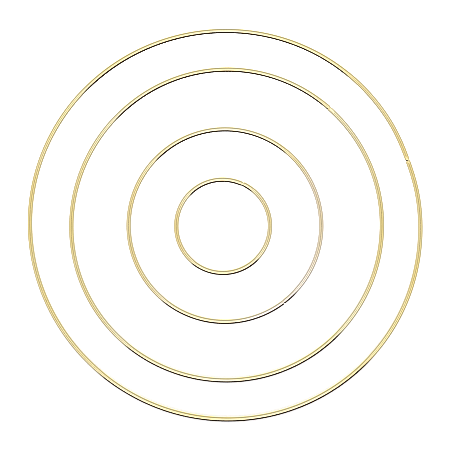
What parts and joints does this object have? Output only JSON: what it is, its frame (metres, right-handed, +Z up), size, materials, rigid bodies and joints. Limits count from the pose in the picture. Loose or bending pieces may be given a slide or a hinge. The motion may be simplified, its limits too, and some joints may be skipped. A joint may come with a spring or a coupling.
{
  "type": "wreath frame",
  "caption": "Set of loose round metal hoops of stepped sizes, each a plain round wire closed by a butt weld, laid one inside another as frames for wreaths and hangings.",
  "frame": {"origin": "middle of the largest hoop, on the table that all the hoops lie on", "axes": "+Z is straight up from the table, square to the hoops' plane; +X and +Y lie on the table, and the welds' directions are counted anticlockwise from +X"},
  "size_m": [0.2, 0.2, 0.0025],
  "materials": {
    "gold_wire": "bright light-gold plating on drawn iron wire",
    "pale_gold_wire": "light-gold plating, paler and warmer along part of the hoop",
    "weld_metal": "light-gold plating over fused and dressed metal, a little rougher than the wire"
  },
  "bodies": {
    "extra_large_hoop": {"extra_large_hoop_wire": "gold_wire", "extra_large_hoop_weld": "weld_metal"},
    "large_hoop": {"large_hoop_wire": "gold_wire", "large_hoop_weld": "weld_metal"},
    "medium_hoop": {"medium_hoop_wire": "pale_gold_wire", "medium_hoop_weld": "weld_metal"},
    "small_hoop": {"small_hoop_wire": "gold_wire", "small_hoop_weld": "weld_metal"}
  },
  "joints": [
    {"name": "large_hoop_lift", "type": "slide", "parent": "extra_large_hoop", "child": "large_hoop", "axis": [0, 0, 1], "range_m": [0, 0.05]},
    {"name": "medium_hoop_lift", "type": "slide", "parent": "extra_large_hoop", "child": "medium_hoop", "axis": [0, 0, 1], "range_m": [0, 0.1]},
    {"name": "small_hoop_lift", "type": "slide", "parent": "extra_large_hoop", "child": "small_hoop", "axis": [0, 0, 1], "range_m": [0, 0.15]}
  ]
}
